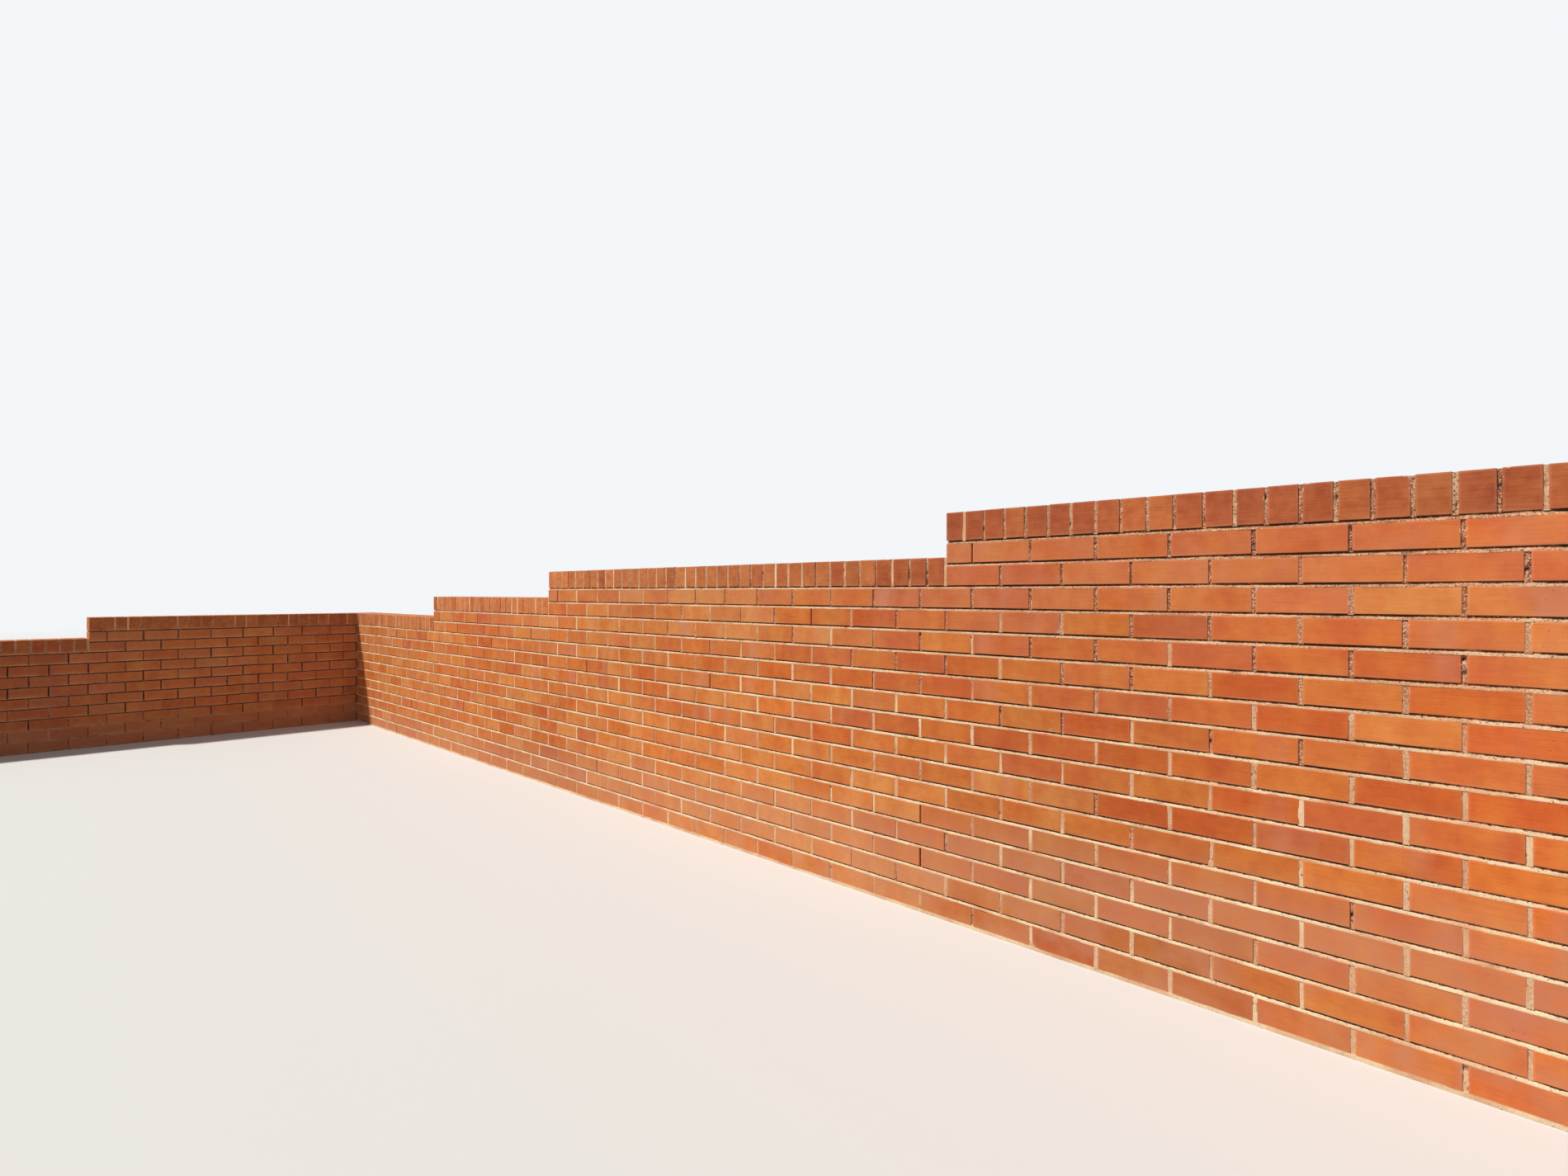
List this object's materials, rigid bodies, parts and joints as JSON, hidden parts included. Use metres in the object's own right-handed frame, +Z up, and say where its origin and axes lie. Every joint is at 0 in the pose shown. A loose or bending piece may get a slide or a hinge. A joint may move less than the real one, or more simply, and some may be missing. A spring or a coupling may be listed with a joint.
{
  "type": "brick garden wall",
  "caption": "L-shaped brick garden wall, one brick thick, whose top steps down in bays along both arms; each bay is capped with bricks on edge and it rests on level ground.",
  "frame": {"origin": "foot of the corner on the ground, where the centre lines of the two arms cross", "axes": "+X along the long arm towards its free end, -Y along the return arm, +Z up; the garden side is the inside of the L"},
  "size_m": [9.59, 4.19, 1.582],
  "materials": {
    "face_brick": "smooth extruded fired clay, orange red, matt",
    "header_brick": "smooth extruded fired clay, red, matt",
    "coping_brick": "smooth extruded fired clay with fine drag lines, red, matt",
    "mortar": "raked sand and cement mortar, cream, coarse and pitted"
  },
  "bodies": {
    "root": {"long_lift_1_front_leaf": "face_brick", "long_lift_1_back_leaf": "face_brick", "long_lift_1_mortar": "mortar", "long_lift_2_front_leaf": "face_brick", "long_lift_2_back_leaf": "face_brick", "long_lift_2_mortar": "mortar", "long_lift_3_front_leaf": "face_brick", "long_lift_3_back_leaf": "face_brick", "long_lift_3_mortar": "mortar", "long_lift_4_front_leaf": "face_brick", "long_lift_4_back_leaf": "face_brick", "long_lift_4_mortar": "mortar", "return_lift_1_front_leaf": "face_brick", "return_lift_1_back_leaf": "face_brick", "return_lift_1_mortar": "mortar", "return_lift_2_front_leaf": "face_brick", "return_lift_2_back_leaf": "face_brick", "return_lift_2_mortar": "mortar", "long_end_headers": "header_brick", "step_a_headers": "header_brick", "step_b_headers": "header_brick", "step_c_headers": "header_brick", "return_end_headers": "header_brick", "step_e_headers": "header_brick", "coping_a": "coping_brick", "coping_b": "coping_brick", "coping_c": "coping_brick", "coping_d": "coping_brick", "coping_e": "coping_brick", "coping_f": "coping_brick", "coping_a_mortar": "mortar", "coping_b_mortar": "mortar", "coping_c_mortar": "mortar", "coping_d_mortar": "mortar", "coping_e_mortar": "mortar", "coping_f_mortar": "mortar"}
  },
  "joints": []
}
